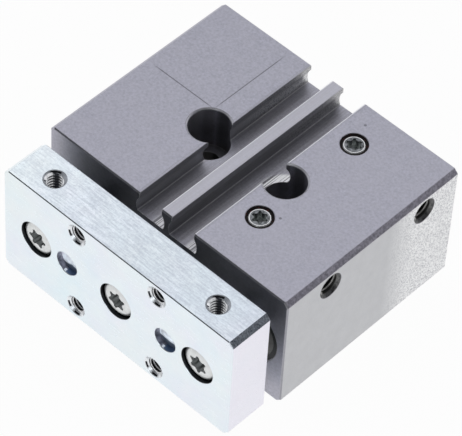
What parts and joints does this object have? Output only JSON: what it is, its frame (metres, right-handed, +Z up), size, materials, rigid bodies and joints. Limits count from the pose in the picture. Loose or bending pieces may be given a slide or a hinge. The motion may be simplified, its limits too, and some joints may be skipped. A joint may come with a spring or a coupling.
{
  "type": "guided pneumatic cylinder",
  "caption": "Guided pneumatic cylinder: flat block housing with sensor slots and air ports, and a yoke plate carried on a piston rod and ball-guided rods.",
  "frame": {"origin": "centre of the housing's bottom mounting face", "axes": "+X across the width, towards the air ports; +Z up, out of the slotted face; the yoke plate is at -Y and advances along -Y"},
  "size_m": [0.058, 0.0568, 0.0273],
  "materials": {
    "anodised_aluminium": "matt natural anodised",
    "cap_aluminium": "turned and anodised",
    "zinc_plated_steel": "ground and blue zinc plated",
    "screw_steel": "satin",
    "plug_steel": "bright zinc plated",
    "hardened_steel": "ground and hard chromed",
    "bearing_steel": "ground",
    "spring_steel": "phosphated",
    "bearing_bronze": "sintered",
    "bearing_plastic": "natural acetal",
    "magnet_compound": "plastic-bonded magnet",
    "seal_polyurethane": "smooth",
    "black_rubber": "matt"
  },
  "bodies": {
    "housing_body": {"ball_bushing_left_front_balls": "bearing_steel", "ball_bushing_left_front_cage": "bearing_plastic", "ball_bushing_left_front_sleeve": "bearing_steel", "ball_bushing_left_rear_balls": "bearing_steel", "ball_bushing_left_rear_cage": "bearing_plastic", "ball_bushing_left_rear_sleeve": "bearing_steel", "ball_bushing_right_front_balls": "bearing_steel", "ball_bushing_right_front_cage": "bearing_plastic", "ball_bushing_right_front_sleeve": "bearing_steel", "ball_bushing_right_rear_balls": "bearing_steel", "ball_bushing_right_rear_cage": "bearing_plastic", "ball_bushing_right_rear_sleeve": "bearing_steel", "blanking_plugs": "plug_steel", "cap_retaining_rings": "spring_steel", "front_cap": "cap_aluminium", "front_cap_o_ring": "black_rubber", "front_cushion_ring": "black_rubber", "guide_retaining_rings": "spring_steel", "guide_wiper_left": "black_rubber", "guide_wiper_right": "black_rubber", "housing": "anodised_aluminium", "rear_cap": "cap_aluminium", "rear_cap_o_ring": "black_rubber", "rear_cushion_ring": "black_rubber", "rod_bush": "bearing_bronze", "rod_seal": "seal_polyurethane"},
    "yoke": {"yoke_plate": "zinc_plated_steel", "yoke_screws": "screw_steel", "guide_rod_left": "hardened_steel", "guide_rod_right": "hardened_steel", "piston_rod": "hardened_steel", "piston_front_disc": "cap_aluminium", "piston_rear_disc": "cap_aluminium", "front_piston_seal": "seal_polyurethane", "rear_piston_seal": "seal_polyurethane", "piston_magnet": "magnet_compound", "piston_wear_band": "bearing_plastic", "piston_nut": "zinc_plated_steel"}
  },
  "joints": [
    {"name": "yoke_slide", "type": "slide", "parent": "housing_body", "child": "yoke", "axis": [0, -1, 0], "range_m": [0, 0.01]}
  ]
}
